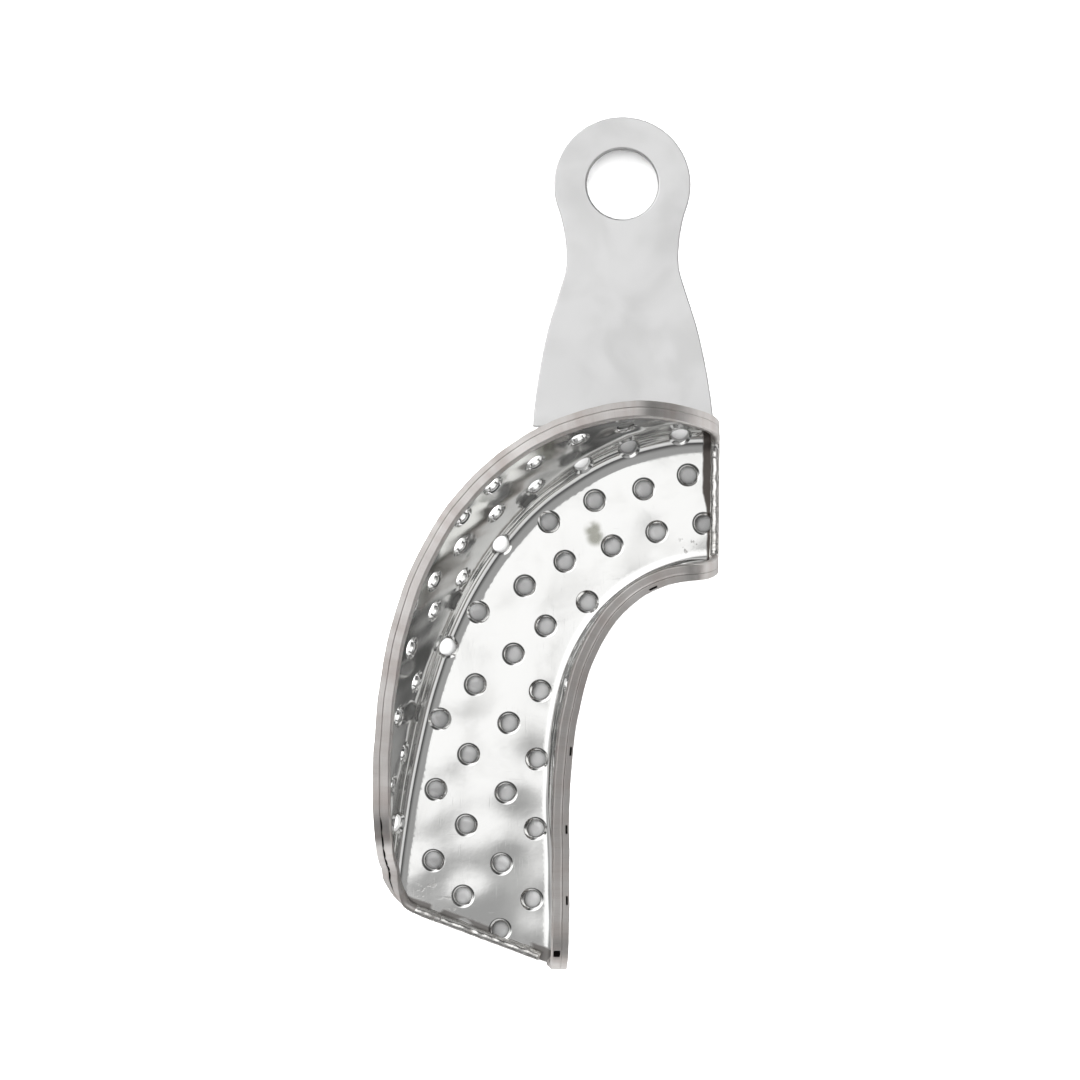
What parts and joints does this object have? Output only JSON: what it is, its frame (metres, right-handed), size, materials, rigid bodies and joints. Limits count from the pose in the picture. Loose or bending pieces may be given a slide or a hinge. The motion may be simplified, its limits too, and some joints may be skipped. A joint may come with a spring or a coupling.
{
  "type": "impression tray",
  "caption": "Partial dental impression tray for one quarter of an arch: perforated steel trough with a retention rim wire and a flat handle with a round eye.",
  "frame": {"origin": "on the flat underside of the floor, in the middle of the tray's outline seen from above", "axes": "+Z out of the open side of the trough, +Y along the handle towards its eye, +X towards the midline end of the trough"},
  "size_m": [0.0408, 0.102, 0.0145],
  "materials": {
    "polished_sheet": "mirror polished stainless, lightly scuffed",
    "ground_wire": "cross-ground stainless",
    "solder": "polished hard solder, slightly lumpy",
    "satin_handle": "fine satin stainless",
    "weld": "heat-tinted weld"
  },
  "bodies": {
    "root": {"tray_shell": "polished_sheet", "outer_rim_wire": "ground_wire", "inner_rim_wire": "ground_wire", "front_end_wire": "ground_wire", "back_end_wire": "ground_wire", "rim_solder_joints": "solder", "handle_plate": "satin_handle", "handle_spot_welds": "weld"}
  },
  "joints": []
}
